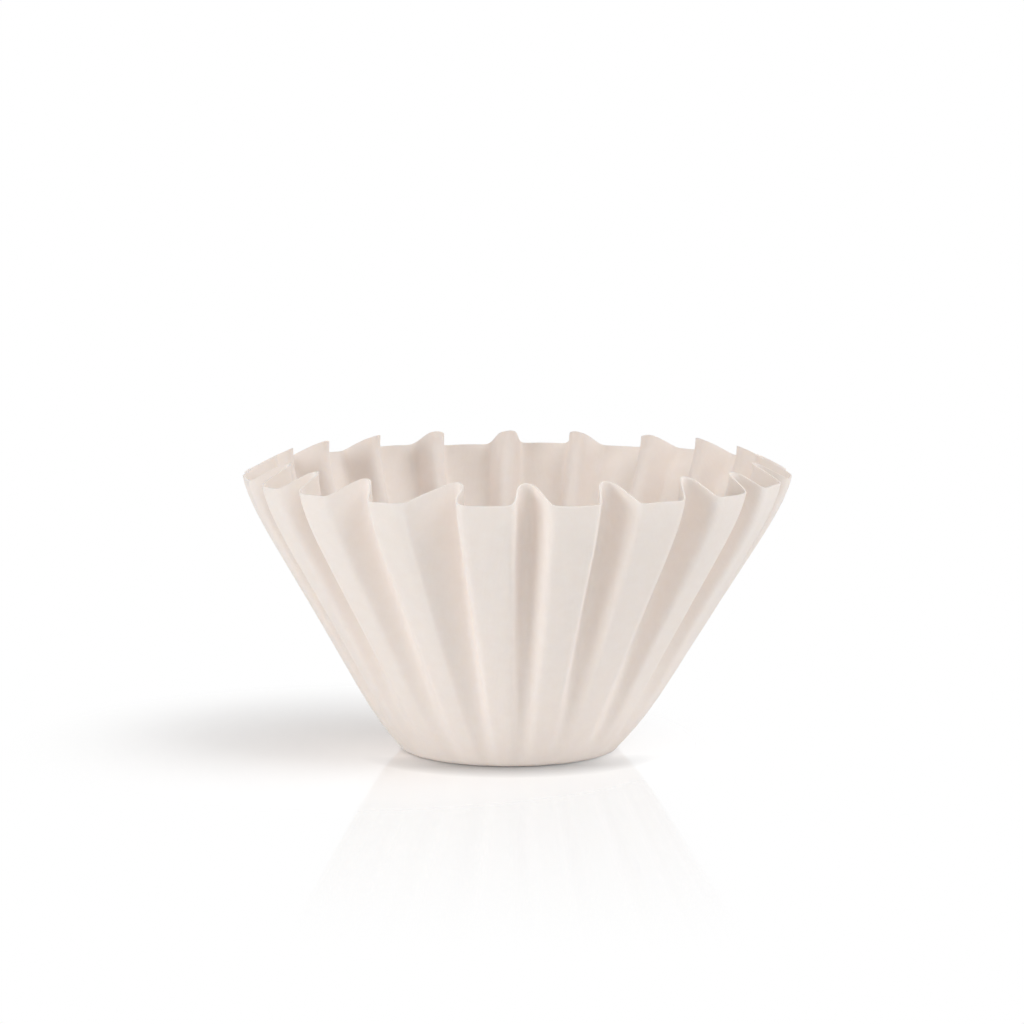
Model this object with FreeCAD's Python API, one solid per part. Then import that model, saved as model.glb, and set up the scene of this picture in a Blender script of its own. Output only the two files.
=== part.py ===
import FreeCAD
import Part
import math
import os

# A flat-bottomed coffee filter: one round sheet of paper, pressed into a cup with fluted walls.
# Millimetres. The origin is the middle of the base's underside, +Z is up, and a valley faces -Y.

# The round sheet before it is pressed
sheet_diameter = 155.0
paper_thickness = 0.25

# The pressed cup. The base ends where the lines of base and wall would meet in a sharp corner.
base_diameter = 39.0
foot_radius = 2.0
rim_diameter = 98.0

# The flutes, with their sizes at the rim on the outer side of the paper
flute_count = 20
flute_depth = 6.2
face_width = 10.2
corner_radius = 1.6
valley_radius = 0.8

# Width of a valley where it begins at the foot, on the outer side of the paper
valley_foot_width = 0.2

# Flat strips that make up each bend. The valley's are odd in number, so that one lies in its middle.
corner_strips = 4
valley_strips = 7

centre_point = FreeCAD.Vector(0, 0, 0)
up = FreeCAD.Vector(0, 0, 1)

half_pitch = math.pi / flute_count
base_reach = base_diameter / 2
rim_reach = rim_diameter / 2
valley_reach = rim_reach - flute_depth
wall_length = (sheet_diameter - base_diameter) / 2

# The wall's lean from upright, along the middle of a flute's outer face
wall_lean = math.asin((rim_reach - base_reach) / wall_length)
level_thickness = paper_thickness / math.cos(wall_lean)

# The foot's rounding runs from the flat base up to the ring where the wall begins
flat_reach = base_reach - foot_radius * math.tan((math.pi / 2 - wall_lean) / 2)


def rim_height(reach):
    """Height of the sheet's edge at a distance from the axis.

    Every point of the edge is one wall length away from the corner of the base.
    """
    return math.sqrt(wall_length**2 - (reach - base_reach) ** 2)


def turned(shape, angle):
    """A copy of the shape, turned about the axis by an angle in radians."""
    copy = shape.copy()
    copy.rotate(centre_point, up, math.degrees(angle))
    return copy


def at(centre, radius, angle):
    """The point of a circle in plan, at an angle from +X."""
    return centre[0] + radius * math.cos(angle), centre[1] + radius * math.sin(angle)


def half_wave(inset):
    """Plan of the rim from the right end of a flute's face to the valley, inset into the paper.

    A round corner, a straight flank and half of a round valley follow each other. The flank
    touches both circles, and the points lie where the flat strips meet.
    """
    corner = (face_width / 2 - corner_radius, rim_reach - corner_radius)
    valley = at((0, 0), valley_reach + valley_radius, math.pi / 2 - half_pitch)
    across, along = valley[0] - corner[0], valley[1] - corner[1]
    turn = math.acos((corner_radius + valley_radius) / math.hypot(across, along))
    flank_side = math.atan2(along, across) + turn
    to_axis = -math.pi / 2 - half_pitch
    points = []
    for i in range(corner_strips + 1):
        angle = math.pi / 2 + (flank_side - math.pi / 2) * i / corner_strips
        points.append(at(corner, corner_radius - inset, angle))
    for i in range((valley_strips + 1) // 2):
        angle = flank_side - math.pi + (to_axis - flank_side + math.pi) * 2 * i / valley_strips
        points.append(at(valley, valley_radius + inset, angle))
    return points


def mirrored(point, angle):
    """The point on the other side of an upright plane through the axis, at an angle from +Y."""
    x = -point.x * math.cos(2 * angle) + point.y * math.sin(2 * angle)
    y = point.x * math.sin(2 * angle) + point.y * math.cos(2 * angle)
    return FreeCAD.Vector(x, y, point.z)


def rim_lines(inset):
    """One flute's share of the rim: its face, then over the fold on its right to the next face."""
    half = [
        FreeCAD.Vector(x, y, rim_height(math.hypot(*outer)))
        for (x, y), outer in zip(half_wave(inset), half_wave(0.0))
    ]
    points = [mirrored(half[0], 0.0)] + half + [mirrored(p, half_pitch) for p in reversed(half)]
    return [Part.makeLine(start, end) for start, end in zip(points, points[1:])]


def ring(radius):
    """Distance from the axis and height of the foot's upper end, for the outer or inner rounding."""
    return flat_reach + radius * math.cos(wall_lean), foot_radius - radius * math.sin(wall_lean)


def circle_arc(reach, height, start, end):
    """A stretch of a level circle between two angles from +Y."""
    points = [
        FreeCAD.Vector(reach * math.sin(a), reach * math.cos(a), height)
        for a in (start, (start + end) / 2, end)
    ]
    return Part.Arc(*points).toShape()


def stretches(inset):
    """Angles from +Y at which a flute's face and the valley on its right begin and end on the foot."""
    valley_half = (valley_foot_width / 2 + inset) / base_reach
    face_half = half_pitch - valley_half
    return [(-face_half, face_half), (face_half, face_half + 2 * valley_half)]


def strip(tip, line):
    """A flat strip that widens from its tip on the foot to a line of the rim."""
    start, end = [vertex.Point for vertex in line.Vertexes]
    return Part.Face(Part.makePolygon([tip, start, end, tip]))


def wall_faces(inset, radius):
    """One flute's wall on one side of the paper: the face, then the fold on its right."""
    face_arc, valley_arc = [circle_arc(*ring(radius), *angles) for angles in stretches(inset)]
    near_tip, far_tip = [vertex.Point for vertex in valley_arc.Vertexes]
    face_line, *fold_lines = rim_lines(inset)
    middle = len(fold_lines) // 2
    return (
        [Part.makeRuledSurface(face_arc, face_line)]
        + [strip(near_tip, line) for line in fold_lines[:middle]]
        + [Part.makeRuledSurface(valley_arc, fold_lines[middle])]
        + [strip(far_tip, line) for line in fold_lines[middle + 1:]]
    )


def foot_faces(inset, radius):
    """The foot's rounding below one flute's face and valley."""
    section = [
        FreeCAD.Vector(0, flat_reach + radius * math.cos(a), foot_radius - radius * math.sin(a))
        for a in (math.pi / 2, (math.pi / 2 + wall_lean) / 2, wall_lean)
    ]
    profile = Part.Arc(*section).toShape()
    return [
        turned(profile, -start).revolve(centre_point, up, math.degrees(start - end))
        for start, end in stretches(inset)
    ]


def one_flute():
    """Every face of one flute: both sides of the wall and of the foot, and the cut edge at the rim."""
    inner_radius = foot_radius - paper_thickness
    cut_edge = zip(rim_lines(0.0), rim_lines(level_thickness))
    return (
        wall_faces(0.0, foot_radius)
        + wall_faces(level_thickness, inner_radius)
        + foot_faces(0.0, foot_radius)
        + foot_faces(level_thickness, inner_radius)
        + [Part.makeRuledSurface(outer, inner) for outer, inner in cut_edge]
    )


def all_round(shapes):
    """The shapes repeated for every flute. The first copy is turned so that a valley faces -Y."""
    turns = [math.pi + (2 * i + 1) * half_pitch for i in range(flute_count)]
    return [turned(shape, angle) for angle in turns for shape in shapes]


def base_face(inset, height):
    """One side of the flat base, bounded by the lower ends of the foot's stretches."""
    arcs = [circle_arc(flat_reach, height, *angles) for angles in stretches(inset)]
    return Part.Face(Part.Wire(Part.__sortEdges__(all_round(arcs))))


def filter_sheet():
    base = [base_face(0.0, 0.0), base_face(level_thickness, paper_thickness)]
    shell = Part.Shell(all_round(one_flute()) + base)
    shell.sewShape()
    solid = Part.Solid(shell)
    if solid.Volume < 0:
        solid.reverse()
    return solid


sheet = filter_sheet()
os.makedirs("parts", exist_ok=True)
sheet.exportStep("parts/filter_sheet.step")

drawn = sum(line.Length for line in rim_lines(0.0))
cut = math.pi * sheet_diameter / flute_count
print("valid", sheet.isValid(), "closed", sheet.isClosed(), "volume", round(sheet.Volume, 1))
print("paper round one flute:", round(drawn, 2), "drawn,", round(cut, 2), "in the flat sheet")
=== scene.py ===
import math

import bpy
import numpy as np
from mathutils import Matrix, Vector


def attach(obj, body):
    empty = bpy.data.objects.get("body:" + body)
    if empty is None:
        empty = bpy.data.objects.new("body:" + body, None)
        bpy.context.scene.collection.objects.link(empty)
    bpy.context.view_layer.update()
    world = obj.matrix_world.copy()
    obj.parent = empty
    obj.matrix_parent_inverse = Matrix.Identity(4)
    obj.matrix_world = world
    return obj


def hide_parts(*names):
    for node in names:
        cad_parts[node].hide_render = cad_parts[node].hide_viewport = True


bl_info = {
    "name": "Fluted Coffee Filter",
    "version": (1, 0, 0),
    "blender": (4, 5, 0),
    "location": "3D View > Sidebar > Coffee Filter",
    "description": "Presses a round sheet of paper into a flat-bottomed, fluted coffee filter",
    "category": "Add Mesh",
}

# The frame is in metres. The origin is the middle of the base's underside, +Z is up, and a valley
# faces -Y.
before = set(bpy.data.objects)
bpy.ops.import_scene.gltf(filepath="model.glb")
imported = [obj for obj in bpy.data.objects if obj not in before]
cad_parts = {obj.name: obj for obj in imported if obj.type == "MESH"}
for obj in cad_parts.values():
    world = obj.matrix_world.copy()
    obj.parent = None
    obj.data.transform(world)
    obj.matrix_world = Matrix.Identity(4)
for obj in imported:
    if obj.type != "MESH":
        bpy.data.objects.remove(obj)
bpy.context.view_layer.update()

MM = 0.001

# Steps across each stretch of half a flute: its face, corner, flank and valley
FACE_STEPS = 6
CORNER_STEPS = 5
FLANK_STEPS = 7
VALLEY_STEPS = 3

# Steps from the middle of the base outwards: the flat base, the rounded foot and the wall
BASE_STEPS = 5
FOOT_STEPS = 6
WALL_STEPS = 34

# How much of half a flute's width at the foot belongs to its face, corner, flank and valley
FOOT_SHARES = (0.34, 0.14, 0.36, 0.16)

# Slow waves that cross the wall: how many, how often each goes round and up it, and heights in mm
WAVE_COUNT = 9
WAVES_ROUND = (2, 25)
WAVES_UP = (1, 3)
WAVE_HEIGHTS = (0.02, 0.075)
WAVE_SEED = 7

# How widely the flutes' own sizes are spread: turns in degrees, then shares of the given size
RIM_TURN_SPREAD = 0.5
FOOT_TURN_SPREAD = 1.0
DEPTH_SPREAD = 0.035
WIDTH_SPREAD = 0.05
CORNER_RANGE = (-0.15, 0.35)

# The faces' crown at the rim, the flutes' bow halfway up and the rim's rise or fall, in mm
CROWN_RANGE = (-0.12, 0.22)
BOW_SPREAD = 0.22
LIFT_SPREAD = 0.12
FLUTE_SEED = 20

# Flutes that the press left lopsided: their number, and half widths left and right in mm
LOPSIDED_FACES = (
    (16, 4.1, 4.2),
    (17, 5.1, 3.8),
    (18, 5.4, 2.7),
    (19, 5.6, 4.7),
    (0, 4.3, 4.9),
    (1, 5.5, 4.5),
    (2, 5.0, 4.0),
)

# Valleys that it left off their even places: their number, and turns at rim and foot in degrees
TURNED_VALLEYS = (
    (17, -2.0, 5.0),
    (18, -2.8, 7.0),
    (19, 1.8, 5.4),
    (0, -0.4, 3.6),
    (1, 0.0, 2.8),
    (2, 3.1, 3.0),
    (3, 1.5, 3.2),
)

# The swell is even over the wall's middle and dies away at foot and rim, faster the higher this is
SWELL_POWER = 6

# Scale of the fibres' pattern along the sheet against across it: below 1 it is drawn out along it
FIBRE_SQUEEZE = 0.3

# How much the fibres count in the paper's colour, where the clouds count 1
FIBRE_SHARE = 0.35

# Edges sharper than this keep a crisp shading line, which is only the paper's cut edge
CUT_EDGE_ANGLE = math.radians(50)

# Half the floor's side, and how far it lies under the base
FLOOR_HALF = 3.0
FLOOR_DROP = 0.02 * MM

# Added to the floor's colour for the camera, so that the floor is white where nothing shades it
FLOOR_LIFT = 0.33

# The floor keeps its shading near this place, where the filter's shadow lies, and is white far from it
SHADOW_CENTRE = (-25 * MM, 5 * MM, 0)
SHADOW_KEPT = 5 * MM
SHADOW_GONE = 70 * MM

# Mirror image in the floor: its share near the filter, and where it starts to fade and where it ends
MIRROR_SHARE = 0.22
MIRROR_KEPT = 30 * MM
MIRROR_GONE = 160 * MM
MIRROR_ROUGHNESS = 0.06

# Contact shade in front of the foot: its share, its reach, and where along Y it is full and ends
CONTACT_SHARE = 0.7
CONTACT_REACH = 7.5 * MM
CONTACT_FULL = -18 * MM
CONTACT_END = -8 * MM

# Lamps: name, azimuth and elevation in degrees, side in metres, power in watts
LAMPS = (
    ("left_lamp", -55, 8, 0.5, 3.75),
    ("right_lamp", 77, 8, 0.4, 1.5),
    ("top_lamp", 53, 53, 0.6, 3.6),
)
LAMP_DISTANCE = 0.9
LAMP_TARGET = (0, 0, 25 * MM)

# Width of the camera's sensor, in millimetres
SENSOR_WIDTH = 36


class FilterSizes(bpy.types.PropertyGroup):
    """Sizes and colours of the pressed sheet."""

    sheet_diameter: bpy.props.FloatProperty(
        name="Sheet Diameter",
        description="Round sheet of paper before it is pressed",
        default=155 * MM,
        unit="LENGTH",
    )
    paper_thickness: bpy.props.FloatProperty(
        name="Paper Thickness",
        description="Thickness of the paper",
        default=0.25 * MM,
        unit="LENGTH",
    )
    base_diameter: bpy.props.FloatProperty(
        name="Base Diameter",
        description="Where the lines of base and wall would meet in a sharp corner",
        default=39 * MM,
        unit="LENGTH",
    )
    foot_radius: bpy.props.FloatProperty(
        name="Foot Radius",
        description="Rounding between base and wall, on the outside",
        default=2 * MM,
        unit="LENGTH",
    )
    rim_diameter: bpy.props.FloatProperty(
        name="Rim Diameter",
        description="Over the outer faces of opposite flutes",
        default=98 * MM,
        unit="LENGTH",
    )
    flute_count: bpy.props.IntProperty(
        name="Flutes",
        description="Number of flutes round the wall",
        default=20,
        min=3,
    )
    flute_depth: bpy.props.FloatProperty(
        name="Flute Depth",
        description="From a flute's face in to the valley beside it, at the rim",
        default=6.2 * MM,
        unit="LENGTH",
    )
    face_width: bpy.props.FloatProperty(
        name="Face Width",
        description="Width of a flute at the rim, corners included",
        default=10.2 * MM,
        unit="LENGTH",
    )
    corner_radius: bpy.props.FloatProperty(
        name="Corner Radius",
        description="Rounding between a flute's face and its flanks, at the rim",
        default=1.45 * MM,
        unit="LENGTH",
    )
    valley_radius: bpy.props.FloatProperty(
        name="Valley Radius",
        description="Rounding in the bottom of a valley, at the rim",
        default=1.4 * MM,
        unit="LENGTH",
    )
    softness: bpy.props.FloatProperty(
        name="Softness",
        description="How far the folds are blurred along the wall, the same in mm at every height",
        default=0.7 * MM,
        unit="LENGTH",
    )
    face_swell: bpy.props.FloatProperty(
        name="Face Swell",
        description="How far the flutes' faces swell out between foot and rim",
        default=1.65 * MM,
        unit="LENGTH",
    )
    valley_swell: bpy.props.FloatProperty(
        name="Valley Swell",
        description="How far the valleys swell out between foot and rim",
        default=2.2 * MM,
        unit="LENGTH",
    )
    foot_turn: bpy.props.FloatProperty(
        name="Foot Turn",
        description="How far the flutes' lower ends are turned against their upper ends",
        default=math.radians(4.0),
        subtype="ANGLE",
    )
    rim_lean: bpy.props.FloatProperty(
        name="Rim Lean",
        description="How far the rim stands to the +X side of the base",
        default=1.4 * MM,
        unit="LENGTH",
    )
    unevenness: bpy.props.FloatProperty(
        name="Unevenness",
        description="How much the flutes differ from each other, 1 as pressed and 0 not at all",
        default=1.0,
        min=0.0,
        max=2.0,
    )
    paper_colour: bpy.props.FloatVectorProperty(
        name="Paper",
        description="Colour of the paper where its fibres are even",
        default=(0.93, 0.844, 0.792),
        subtype="COLOR",
    )
    cloudy_colour: bpy.props.FloatVectorProperty(
        name="Cloudy Paper",
        description="Colour of the thinner clouds in the paper",
        default=(0.915, 0.824, 0.769),
        subtype="COLOR",
    )


class StageSettings(bpy.types.PropertyGroup):
    """Camera, lamps and floor."""

    camera_azimuth: bpy.props.FloatProperty(
        name="Camera Azimuth",
        description="Turn of the camera round the filter, from straight in front",
        default=math.radians(-2.4),
        subtype="ANGLE",
    )
    camera_elevation: bpy.props.FloatProperty(
        name="Camera Elevation",
        description="Height of the camera's line of sight above level",
        default=math.radians(7.24),
        subtype="ANGLE",
    )
    camera_distance: bpy.props.FloatProperty(
        name="Camera Distance",
        description="From the camera to the point that it aims at",
        default=673 * MM,
        unit="LENGTH",
    )
    aim_height: bpy.props.FloatProperty(
        name="Aim Height",
        description="Height of the point that the camera aims at",
        default=42.8 * MM,
        unit="LENGTH",
    )
    aim_side: bpy.props.FloatProperty(
        name="Aim Side",
        description="How far the camera aims to the right of the filter's axis",
        default=0.47 * MM,
        unit="LENGTH",
    )
    focal_length: bpy.props.FloatProperty(
        name="Focal Length",
        description="Lens of the camera, in millimetres on a sensor 36 mm wide",
        default=131.84,
    )
    floor_colour: bpy.props.FloatVectorProperty(
        name="Floor",
        description="Colour of the floor",
        default=(0.92, 0.92, 0.92),
        subtype="COLOR",
    )
    world_strength: bpy.props.FloatProperty(
        name="Room Light",
        description="Strength of the even light from all round",
        default=0.375,
        min=0.0,
    )


def uneven_flutes(sizes):
    """Each flute's own sizes at the rim, near the given ones, from seeded draws.

    Valleys are numbered from the one that faces -Y towards +X, and flute i lies between valleys
    i and i + 1. Returns a dict of arrays: one value for each valley, or for each flute and side.
    """
    count = sizes.flute_count
    draws = np.random.default_rng(FLUTE_SEED)
    amount = sizes.unevenness
    pitch = 2 * math.pi / count
    rim_turn = amount * draws.normal(0, math.radians(RIM_TURN_SPREAD), count)
    foot_turn = sizes.foot_turn + amount * draws.normal(0, math.radians(FOOT_TURN_SPREAD), count)
    valley_depth = 1 + amount * draws.normal(0, DEPTH_SPREAD, count)
    half_width = 1 + amount * draws.normal(0, WIDTH_SPREAD, (count, 2))
    corner = 1 + amount * draws.uniform(*CORNER_RANGE, (count, 2))
    crown = amount * draws.uniform(*CROWN_RANGE, count) * MM
    bow = amount * draws.normal(0, BOW_SPREAD, count) * MM
    lift = amount * draws.normal(0, LIFT_SPREAD, count) * MM
    half_width = half_width * sizes.face_width / 2
    for flute, left, right in LOPSIDED_FACES:
        half_width[flute % count] = left * MM, right * MM
    for valley, at_rim, at_foot in TURNED_VALLEYS:
        rim_turn[valley % count] = math.radians(at_rim)
        foot_turn[valley % count] = math.radians(at_foot)
    return {
        "rim_angle": pitch * np.arange(count) + rim_turn,
        "foot_angle": pitch * np.arange(count) + foot_turn,
        "valley_reach": sizes.rim_diameter / 2 - sizes.flute_depth * valley_depth,
        "half_width": half_width,
        "corner_radius": sizes.corner_radius * corner,
        "crown": crown,
        "bow": bow,
        "lift": lift,
    }


def half_flutes(sizes, flutes, reach, opening):
    """Plan of each half flute at the rim, as (across, along) arrays of flute, side and step.

    A step runs from the middle of the face to the middle of the valley. The face is straight
    with a slight crown, (1 - t squared) squared times the crown. A circle rounds the corner, a
    straight flank touches it and the valley's circle, and the valley's circle ends on the line
    from the axis through the valley. "opening" is the angle between that line and the face's
    middle, seen from the axis.
    """
    corner_radius = flutes["corner_radius"][..., None]
    valley_radius = sizes.valley_radius
    count = sizes.flute_count
    valley = np.stack([np.arange(count), (np.arange(count) + 1) % count], axis=1)
    valley_reach = flutes["valley_reach"][valley][..., None] + valley_radius
    corner_across = flutes["half_width"][..., None] - corner_radius
    corner_along = reach - corner_radius
    valley_across = valley_reach * np.sin(opening[..., None])
    valley_along = valley_reach * np.cos(opening[..., None])
    across = valley_across - corner_across
    along = valley_along - corner_along
    turn = np.arccos((corner_radius + valley_radius) / np.hypot(across, along))
    flank_side = np.arctan2(along, across) + turn

    face = np.arange(FACE_STEPS) / FACE_STEPS
    face_across = corner_across * face
    face_along = reach + flutes["crown"][:, None, None] * (1 - face**2) ** 2 + 0 * corner_across
    bend = flank_side + (math.pi / 2 - flank_side) * (1 - np.arange(CORNER_STEPS + 1) / CORNER_STEPS)
    bend_across = corner_across + corner_radius * np.cos(bend)
    bend_along = corner_along + corner_radius * np.sin(bend)
    into_axis = -math.pi / 2 - opening[..., None]
    from_flank = flank_side - math.pi
    dip = from_flank + (into_axis - from_flank) * np.arange(VALLEY_STEPS + 1) / VALLEY_STEPS
    dip_across = valley_across + valley_radius * np.cos(dip)
    dip_along = valley_along + valley_radius * np.sin(dip)
    share = np.arange(1, FLANK_STEPS) / FLANK_STEPS
    flank_across = bend_across[..., -1:] + (dip_across[..., :1] - bend_across[..., -1:]) * share
    flank_along = bend_along[..., -1:] + (dip_along[..., :1] - bend_along[..., -1:]) * share
    return (
        np.concatenate([face_across, bend_across, flank_across, dip_across], axis=-1),
        np.concatenate([face_along, bend_along, flank_along, dip_along], axis=-1),
    )


def foot_steps():
    """The same steps' places at the foot, from 0 at the face's middle to 1 at the valley's."""
    steps = (FACE_STEPS, CORNER_STEPS, FLANK_STEPS, VALLEY_STEPS)
    return np.concatenate([[0.0], np.cumsum(np.repeat(np.array(FOOT_SHARES) / steps, steps))])


def between(valleys):
    """Each flute's middle angle, and the angles from it to the valleys on its left and right."""
    ends = np.append(valleys[1:], valleys[0] + 2 * math.pi)
    middles = (valleys + ends) / 2
    return middles[:, None, None], np.stack([middles - valleys, ends - middles], axis=1)


def both_sides(values):
    """Joins (flute, side, step) arrays into one ring that runs once round the filter."""
    left = values[:, 0, :0:-1]
    right = values[:, 1, :-1]
    return np.concatenate([left, right], axis=1).ravel()


def slow_waves(sizes, around, up):
    """Slow waves over the wall: a sum of sines round it times sines up it, each with its own size."""
    draws = np.random.default_rng(WAVE_SEED)
    round_waves = draws.integers(*WAVES_ROUND, WAVE_COUNT, endpoint=True)
    up_waves = draws.integers(*WAVES_UP, WAVE_COUNT, endpoint=True)
    starts = draws.uniform(0, 2 * math.pi, WAVE_COUNT)
    heights = draws.uniform(*WAVE_HEIGHTS, WAVE_COUNT) * MM * sizes.unevenness
    waves = np.sin(round_waves[:, None] * around + starts[:, None])
    rises = np.sin(math.pi * up_waves[:, None] * up)
    return np.einsum("k,kr,kc->rc", heights, rises, waves)


def softened(points, softness):
    """The grid with its folds blurred round the filter, as damp paper is when it leaves the press.

    Each row is smoothed with a bell curve of the same width in metres, by damping its fast
    waves, so the folds are softest near the foot, where they are small. Rows inside the foot
    are smoothed as the foot's first row is.
    """
    columns = points.shape[1]
    ring = np.linalg.norm(np.roll(points, -1, axis=1) - points, axis=-1).sum(axis=1)
    width = softness * columns / np.maximum(ring, ring[BASE_STEPS])
    waves = np.fft.rfftfreq(columns)
    damping = np.exp(-2 * (math.pi * width[:, None] * waves) ** 2)
    return np.fft.irfft(np.fft.rfft(points, axis=1) * damping[..., None], columns, axis=1)


def outer_side(sizes):
    """The sheet's outer side as a grid of points, and each point's place on the flat round sheet.

    Columns run once round the filter, and rows from near the middle of the base to the rim. On
    the base a point's reach grows evenly. The foot is an arc that turns from level to the wall's
    lean. Above it every column is a straight line to its point of the rim, which is one wall
    length away from the base's corner, so the rim stands higher in the valleys.

    The wall is then pushed out. The push is the swell, times 1 less the distance from mid height
    to a power, plus the slow waves and each flute's bow. The swell goes from that of the faces
    to that of the valleys with a point's depth in its flute and its height. At last the folds
    are softened, and the wall is sheared sideways by its height for the rim's lean.
    """
    count = sizes.flute_count
    flutes = uneven_flutes(sizes)
    turn, opening = between(flutes["rim_angle"])
    across, along = half_flutes(sizes, flutes, sizes.rim_diameter / 2, opening)
    side = np.array([-1.0, 1.0])[None, :, None]
    rim_x = both_sides(along * np.sin(turn) + side * across * np.cos(turn))
    rim_y = both_sides(side * across * np.sin(turn) - along * np.cos(turn))

    turn, opening = between(flutes["foot_angle"])
    foot_angle = both_sides(turn + side * foot_steps() * opening[..., None])
    each = both_sides(np.ones_like(across) * np.arange(count)[:, None, None]).astype(int)

    wall_length = (sizes.sheet_diameter - sizes.base_diameter) / 2
    base_reach = sizes.base_diameter / 2
    rim_reach = np.hypot(rim_x, rim_y)
    outwards = rim_reach - base_reach
    rim_z = np.sqrt(wall_length**2 - outwards**2)
    lean = np.arcsin(outwards / wall_length)
    radius = sizes.foot_radius
    flat_reach = base_reach - radius * np.tan((math.pi / 2 - lean) / 2)

    base = (np.arange(1, BASE_STEPS + 1) / BASE_STEPS)[:, None]
    base_rows = flat_reach * base
    arc = math.pi / 2 + (lean - math.pi / 2) * (np.arange(1, FOOT_STEPS + 1) / FOOT_STEPS)[:, None]
    foot_rows = flat_reach + radius * np.cos(arc)
    low_reach = np.concatenate([base_rows, foot_rows])
    low_z = np.concatenate([0 * base_rows, radius - radius * np.sin(arc)])
    low = np.stack([low_reach * np.sin(foot_angle), -low_reach * np.cos(foot_angle), low_z], axis=-1)

    up = (np.arange(1, WALL_STEPS + 1) / WALL_STEPS)[:, None]
    rim = np.stack([rim_x, rim_y, rim_z + flutes["lift"][each]], axis=-1)
    wall = low[-1] + (rim - low[-1]) * up[..., None]
    around = np.arctan2(rim_x, -rim_y)
    dip = (sizes.rim_diameter / 2 - rim_reach) / sizes.flute_depth
    swell = sizes.face_swell + (sizes.valley_swell - sizes.face_swell) * dip * up
    push = swell * (1 - (2 * up - 1) ** SWELL_POWER)
    push = push + slow_waves(sizes, around, up[:, 0]) + flutes["bow"][each] * np.sin(math.pi * up)
    away = np.stack([np.sin(around), -np.cos(around), 0 * around], axis=-1)
    wall = wall + push[..., None] * away
    points = softened(np.concatenate([low, wall]), sizes.softness)
    points[..., 0] += sizes.rim_lean * points[..., 2] / rim_z.mean()

    edge = np.hypot(np.diff(rim_x, append=rim_x[0]), np.diff(rim_y, append=rim_y[0]))
    sheet_angle = 2 * math.pi * (np.cumsum(edge) - edge) / edge.sum()
    arc_length = radius * (math.pi / 2 - arc)
    sheet_reach = np.concatenate([
        base_rows,
        flat_reach + arc_length,
        flat_reach + arc_length[-1] + wall_length * up,
    ])
    flat = np.stack([sheet_reach * np.sin(sheet_angle), -sheet_reach * np.cos(sheet_angle)], axis=-1)
    return points, flat / sizes.sheet_diameter + 0.5


def normals(points):
    """Outward normals of a grid of points, from the differences between its neighbours."""
    round_it = np.roll(points, -1, axis=1) - np.roll(points, 1, axis=1)
    up_it = np.gradient(points, axis=0)
    cross = np.cross(round_it, up_it)
    return cross / np.linalg.norm(cross, axis=-1, keepdims=True)


def closed_sheet(sizes):
    """Vertices, faces and sheet places of the whole sheet.

    The inner side is the outer side moved in by the paper's thickness along its normals, and
    flat on the base. The rows run up the outer side, over the cut edge and down the inner side,
    and one vertex closes each side in the middle of the base.
    """
    outer, flat = outer_side(sizes)
    inner = outer - normals(outer) * sizes.paper_thickness
    inner[:BASE_STEPS, :, 2] = sizes.paper_thickness
    grid = np.concatenate([outer, inner[::-1]])
    rows, columns = grid.shape[:2]
    places = np.concatenate([flat, flat[::-1]])
    middle = np.array([[0.0, 0.0, 0.0], [0.0, 0.0, sizes.paper_thickness]])
    points = np.concatenate([grid.reshape(-1, 3), middle])
    places = np.concatenate([places.reshape(-1, 2), np.full((2, 2), 0.5)])
    index = np.arange(rows * columns).reshape(rows, columns)
    beside = np.roll(index, -1, axis=1)
    quads = np.stack([index[:-1], beside[:-1], beside[1:], index[1:]], axis=-1).reshape(-1, 4)
    below, above = rows * columns, rows * columns + 1
    closing = np.concatenate([
        np.stack([np.full(columns, below), beside[0], index[0]], axis=1),
        np.stack([index[-1], beside[-1], np.full(columns, above)], axis=1),
    ])
    return points, quads.tolist() + closing.tolist(), places


def paper_mesh(sizes):
    """The sheet's mesh, smooth all over but for its cut edge, with the flat sheet as its UV map."""
    points, faces, places = closed_sheet(sizes)
    mesh = bpy.data.meshes.new("pressed_sheet")
    mesh.from_pydata(points.tolist(), [], faces)
    corners = np.zeros(len(mesh.loops), np.int32)
    mesh.loops.foreach_get("vertex_index", corners)
    layer = mesh.uv_layers.new(name="flat_sheet")
    layer.data.foreach_set("uv", places[corners].astype(np.float32).ravel())
    mesh.polygons.foreach_set("use_smooth", np.ones(len(mesh.polygons), bool))
    mesh.set_sharp_from_angle(angle=CUT_EDGE_ANGLE)
    mesh.update()
    return mesh


def node(tree, kind, inputs=None, **settings):
    """A new node with its settings and the values of its sockets."""
    made = tree.nodes.new(kind)
    for name, value in settings.items():
        setattr(made, name, value)
    for name, value in (inputs or {}).items():
        made.inputs[name].default_value = value
    return made


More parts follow.
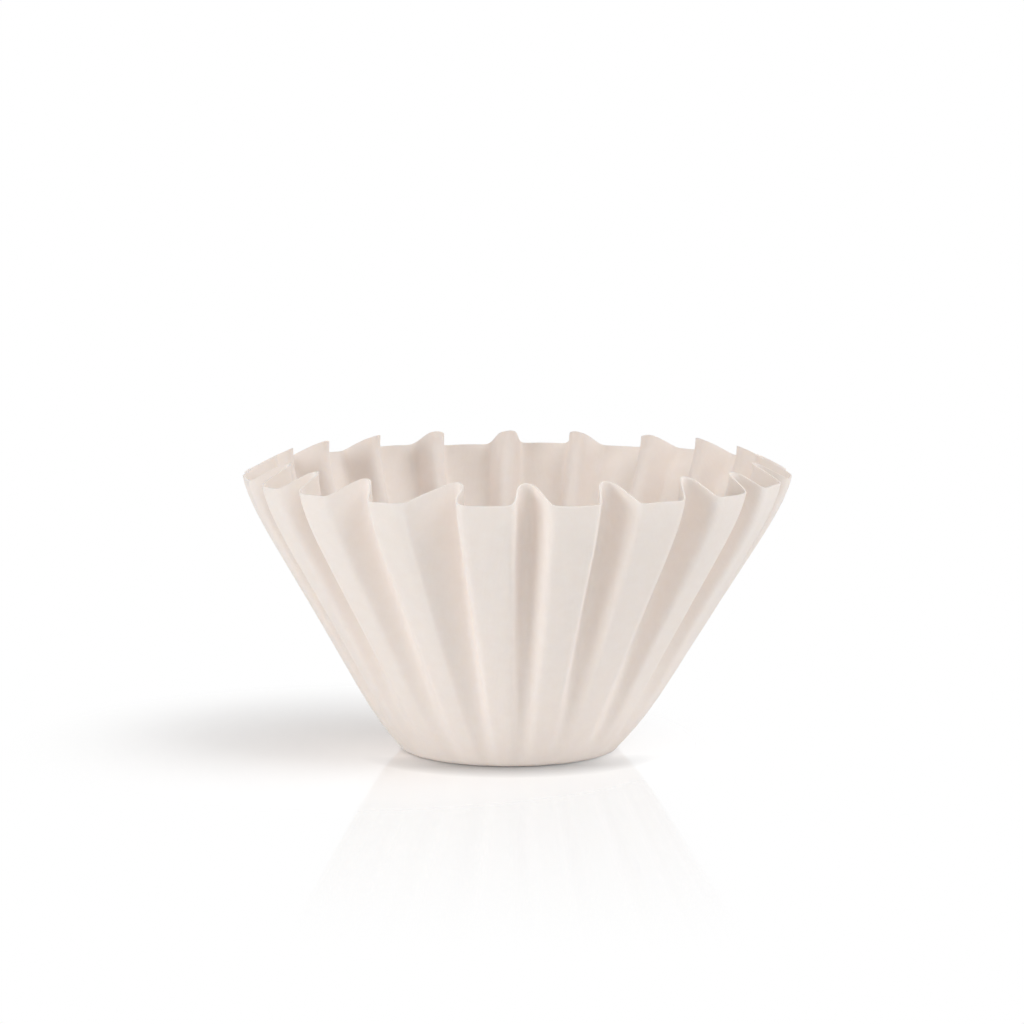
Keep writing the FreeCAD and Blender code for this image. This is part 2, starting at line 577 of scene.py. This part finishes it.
def filter_paper(sizes):
    """Warm white, absorbent paper: clouds in its pulp, short fibres and a faint crepe.

    The patterns lie on the flat sheet, in millimetres, so they follow the paper over its folds.
    """
    material = bpy.data.materials.new("filter_paper")
    material.use_nodes = True
    tree = material.node_tree
    shader = tree.nodes["Principled BSDF"]
    link = tree.links.new
    sheet_mm = sizes.sheet_diameter / MM

    place = node(tree, "ShaderNodeUVMap", uv_map="flat_sheet")
    even = node(tree, "ShaderNodeMapping", {"Scale": (sheet_mm, sheet_mm, 1)})
    along = node(tree, "ShaderNodeMapping", {"Scale": (sheet_mm, sheet_mm * FIBRE_SQUEEZE, 1)})
    link(place.outputs["UV"], even.inputs["Vector"])
    link(place.outputs["UV"], along.inputs["Vector"])

    clouds = node(tree, "ShaderNodeTexNoise", {"Scale": 0.4, "Detail": 4.0, "Roughness": 0.6})
    fibres = node(tree, "ShaderNodeTexNoise", {"Scale": 2.4, "Detail": 5.0, "Roughness": 0.65})
    crepe = node(
        tree,
        "ShaderNodeTexWave",
        {"Scale": 0.33, "Distortion": 5.0, "Detail": 3.0, "Detail Scale": 1.6},
        bands_direction="X",
    )
    link(even.outputs["Vector"], clouds.inputs["Vector"])
    link(along.outputs["Vector"], fibres.inputs["Vector"])
    link(along.outputs["Vector"], crepe.inputs["Vector"])

    pulp = node(tree, "ShaderNodeMath", {1: FIBRE_SHARE}, operation="MULTIPLY")
    mixed = node(tree, "ShaderNodeMath", operation="ADD")
    spread = node(tree, "ShaderNodeMapRange", {"From Min": 0.5, "From Max": 0.85})
    tint = node(tree, "ShaderNodeMix", data_type="RGBA")
    tint.inputs["A"].default_value = (*sizes.paper_colour, 1)
    tint.inputs["B"].default_value = (*sizes.cloudy_colour, 1)
    link(fibres.outputs["Fac"], pulp.inputs[0])
    link(clouds.outputs["Fac"], mixed.inputs[0])
    link(pulp.outputs["Value"], mixed.inputs[1])
    link(mixed.outputs["Value"], spread.inputs["Value"])
    link(spread.outputs["Result"], tint.inputs["Factor"])
    link(tint.outputs["Result"], shader.inputs["Base Color"])

    rough = node(tree, "ShaderNodeMapRange", {"To Min": 0.8, "To Max": 0.96})
    link(fibres.outputs["Fac"], rough.inputs["Value"])
    link(rough.outputs["Result"], shader.inputs["Roughness"])

    fine = node(tree, "ShaderNodeBump", {"Strength": 0.6, "Distance": 0.03 * MM})
    coarse = node(tree, "ShaderNodeBump", {"Strength": 0.2, "Distance": 0.03 * MM})
    link(fibres.outputs["Fac"], fine.inputs["Height"])
    link(crepe.outputs["Fac"], coarse.inputs["Height"])
    link(fine.outputs["Normal"], coarse.inputs["Normal"])
    link(coarse.outputs["Normal"], shader.inputs["Normal"])

    shader.inputs["Specular IOR Level"].default_value = 0.25
    shader.inputs["Subsurface Weight"].default_value = 0.5
    shader.inputs["Subsurface Radius"].default_value = (1.0, 0.85, 0.7)
    shader.inputs["Subsurface Scale"].default_value = 0.6 * MM
    return material


def fading(tree, start, end, high, low):
    """Node for a value that eases from high to low between two distances."""
    return node(
        tree,
        "ShaderNodeMapRange",
        {"From Min": start, "From Max": end, "To Min": high, "To Max": low},
        interpolation_type="SMOOTHSTEP",
    )


def floor_material(colour):
    """A pale, faintly glossy floor that shows white to the camera and keeps the filter's shadow.

    Other rays see only the matte colour. For the camera the colour is lifted, gives way to white
    with the distance from the shadow, is shaded where the foot is close in front of it, and gets
    a mirror image that fades with the distance from the filter.
    """
    material = bpy.data.materials.new("pale_floor")
    material.use_nodes = True
    tree = material.node_tree
    tree.nodes.clear()
    link = tree.links.new
    place = node(tree, "ShaderNodeTexCoord")

    matte = node(tree, "ShaderNodeBsdfDiffuse", {"Color": (*colour, 1)})
    lift = node(tree, "ShaderNodeBsdfDiffuse", {"Color": (FLOOR_LIFT, FLOOR_LIFT, FLOOR_LIFT, 1)})
    lifted = node(tree, "ShaderNodeAddShader")
    link(matte.outputs["BSDF"], lifted.inputs[0])
    link(lift.outputs["BSDF"], lifted.inputs[1])

    white = node(tree, "ShaderNodeEmission", {"Color": (1, 1, 1, 1), "Strength": 1.0})
    from_shadow = node(tree, "ShaderNodeVectorMath", {1: SHADOW_CENTRE}, operation="DISTANCE")
    fade = fading(tree, SHADOW_KEPT, SHADOW_GONE, 0.0, 1.0)
    shaded = node(tree, "ShaderNodeMixShader")
    link(place.outputs["Object"], from_shadow.inputs[0])
    link(from_shadow.outputs["Value"], fade.inputs["Value"])
    link(fade.outputs["Result"], shaded.inputs["Fac"])
    link(lifted.outputs["Shader"], shaded.inputs[1])
    link(white.outputs["Emission"], shaded.inputs[2])

    axes = node(tree, "ShaderNodeSeparateXYZ")
    in_front = node(
        tree,
        "ShaderNodeMapRange",
        {"From Min": CONTACT_FULL, "From Max": CONTACT_END, "To Min": CONTACT_SHARE, "To Max": 0.0},
    )
    open_sky = node(tree, "ShaderNodeAmbientOcclusion", {"Distance": CONTACT_REACH}, samples=8)
    kept = node(tree, "ShaderNodeMix", {"A": 1.0}, data_type="FLOAT")
    grounded = node(tree, "ShaderNodeMixShader")
    link(place.outputs["Object"], axes.inputs["Vector"])
    link(axes.outputs["Y"], in_front.inputs["Value"])
    link(in_front.outputs["Result"], kept.inputs["Factor"])
    link(open_sky.outputs["AO"], kept.inputs["B"])
    link(kept.outputs["Result"], grounded.inputs["Fac"])
    link(shaded.outputs["Shader"], grounded.inputs[2])

    gloss = node(
        tree, "ShaderNodeBsdfGlossy", {"Color": (1, 1, 1, 1), "Roughness": MIRROR_ROUGHNESS}
    )
    reach = node(tree, "ShaderNodeVectorMath", operation="LENGTH")
    sheen = fading(tree, MIRROR_KEPT, MIRROR_GONE, MIRROR_SHARE, 0.0)
    shiny = node(tree, "ShaderNodeMixShader")
    link(place.outputs["Object"], reach.inputs[0])
    link(reach.outputs["Value"], sheen.inputs["Value"])
    link(sheen.outputs["Result"], shiny.inputs["Fac"])
    link(grounded.outputs["Shader"], shiny.inputs[1])
    link(gloss.outputs["BSDF"], shiny.inputs[2])

    path = node(tree, "ShaderNodeLightPath")
    seen = node(tree, "ShaderNodeMixShader")
    output = node(tree, "ShaderNodeOutputMaterial")
    link(path.outputs["Is Camera Ray"], seen.inputs["Fac"])
    link(matte.outputs["BSDF"], seen.inputs[1])
    link(shiny.outputs["Shader"], seen.inputs[2])
    link(seen.outputs["Shader"], output.inputs["Surface"])
    return material


def room_light(strength):
    """An even world that lights at the given strength and shows white itself."""
    world = bpy.data.worlds.new("studio")
    bpy.context.scene.world = world
    world.use_nodes = True
    tree = world.node_tree
    tree.nodes.clear()
    link = tree.links.new
    path = node(tree, "ShaderNodeLightPath")
    first = node(tree, "ShaderNodeMath", operation="MAXIMUM")
    shown = node(tree, "ShaderNodeMath", operation="MAXIMUM")
    light = node(tree, "ShaderNodeBackground", {"Color": (1, 0.99, 0.98, 1), "Strength": strength})
    white = node(tree, "ShaderNodeBackground", {"Color": (1, 1, 1, 1), "Strength": 1.0})
    chosen = node(tree, "ShaderNodeMixShader")
    output = node(tree, "ShaderNodeOutputWorld")
    link(path.outputs["Is Camera Ray"], first.inputs[0])
    link(path.outputs["Is Glossy Ray"], first.inputs[1])
    link(first.outputs["Value"], shown.inputs[0])
    link(path.outputs["Is Transmission Ray"], shown.inputs[1])
    link(shown.outputs["Value"], chosen.inputs["Fac"])
    link(light.outputs["Background"], chosen.inputs[1])
    link(white.outputs["Background"], chosen.inputs[2])
    link(chosen.outputs["Shader"], output.inputs["Surface"])


def direction(azimuth, elevation):
    """Unit vector from the filter towards a place in the studio. Azimuth 0 is -Y, 90 degrees +X."""
    level = math.cos(elevation)
    return Vector((math.sin(azimuth) * level, -math.cos(azimuth) * level, math.sin(elevation)))


def place_facing(thing, place, target):
    """Puts a lamp or camera at a place, facing a point."""
    thing.location = place
    thing.rotation_mode = "QUATERNION"
    thing.rotation_quaternion = (target - place).to_track_quat("-Z", "Y")


def soft_lamp(name, azimuth, elevation, size, power):
    """A square area lamp. Its angles are in degrees, its side in metres, its power in watts."""
    data = bpy.data.lights.new(name, "AREA")
    data.shape = "SQUARE"
    data.size = size
    data.energy = power
    lamp = bpy.data.objects.new(name, data)
    bpy.context.scene.collection.objects.link(lamp)
    target = Vector(LAMP_TARGET)
    towards = direction(math.radians(azimuth), math.radians(elevation))
    place_facing(lamp, target + towards * LAMP_DISTANCE, target)
    return lamp


def floor_plane(colour):
    """A level square floor, a hair under the base."""
    mesh = bpy.data.meshes.new("studio_floor")
    corners = [(-1, -1), (1, -1), (1, 1), (-1, 1)]
    square = [(x * FLOOR_HALF, y * FLOOR_HALF, -FLOOR_DROP) for x, y in corners]
    mesh.from_pydata(square, [], [(0, 1, 2, 3)])
    mesh.materials.append(floor_material(colour))
    floor = bpy.data.objects.new("studio_floor", mesh)
    bpy.context.scene.collection.objects.link(floor)
    return floor


class COFFEE_FILTER_OT_press_sheet(bpy.types.Operator):
    """Press the round sheet of paper into a fluted cup"""

    bl_idname = "coffee_filter.press_sheet"
    bl_label = "Press the Sheet"

    def execute(self, context):
        sizes = context.scene.coffee_filter
        mesh = paper_mesh(sizes)
        mesh.materials.append(filter_paper(sizes))
        sheet = bpy.data.objects.new("pressed_filter", mesh)
        context.scene.collection.objects.link(sheet)
        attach(sheet, "root")
        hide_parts("filter_sheet")
        return {"FINISHED"}


class COFFEE_FILTER_OT_set_stage(bpy.types.Operator):
    """Set up the floor, the lamps and the camera"""

    bl_idname = "coffee_filter.set_stage"
    bl_label = "Set the Stage"

    def execute(self, context):
        stage = context.scene.coffee_filter_stage
        scene = context.scene
        scene.view_settings.view_transform = "Standard"
        floor_plane(stage.floor_colour)
        room_light(stage.world_strength)
        for lamp in LAMPS:
            soft_lamp(*lamp)

        data = bpy.data.cameras.new("camera")
        data.sensor_width = SENSOR_WIDTH
        data.lens = stage.focal_length
        camera = bpy.data.objects.new("camera", data)
        scene.collection.objects.link(camera)
        scene.camera = camera
        right = Vector((math.cos(stage.camera_azimuth), math.sin(stage.camera_azimuth), 0))
        aim = Vector((0, 0, stage.aim_height)) + right * stage.aim_side
        back = direction(stage.camera_azimuth, stage.camera_elevation)
        place_facing(camera, aim + back * stage.camera_distance, aim)
        return {"FINISHED"}


class COFFEE_FILTER_PT_panel(bpy.types.Panel):
    """Lists the steps that make the filter and its studio"""

    bl_idname = "COFFEE_FILTER_PT_panel"
    bl_label = "Coffee Filter"
    bl_space_type = "VIEW_3D"
    bl_region_type = "UI"
    bl_category = "Coffee Filter"

    def draw(self, context):
        layout = self.layout
        for name in FilterSizes.__annotations__:
            layout.prop(context.scene.coffee_filter, name)
        layout.operator(COFFEE_FILTER_OT_press_sheet.bl_idname)
        for name in StageSettings.__annotations__:
            layout.prop(context.scene.coffee_filter_stage, name)
        layout.operator(COFFEE_FILTER_OT_set_stage.bl_idname)


CLASSES = (
    FilterSizes,
    StageSettings,
    COFFEE_FILTER_OT_press_sheet,
    COFFEE_FILTER_OT_set_stage,
    COFFEE_FILTER_PT_panel,
)


def register():
    for each in CLASSES:
        bpy.utils.register_class(each)
    bpy.types.Scene.coffee_filter = bpy.props.PointerProperty(type=FilterSizes)
    bpy.types.Scene.coffee_filter_stage = bpy.props.PointerProperty(type=StageSettings)


def unregister():
    del bpy.types.Scene.coffee_filter_stage
    del bpy.types.Scene.coffee_filter
    for each in reversed(CLASSES):
        bpy.utils.unregister_class(each)


def main():
    """Registers the classes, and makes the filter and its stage."""
    register()
    bpy.ops.coffee_filter.press_sheet()
    bpy.ops.coffee_filter.set_stage()


if __name__ == "__main__":
    main()
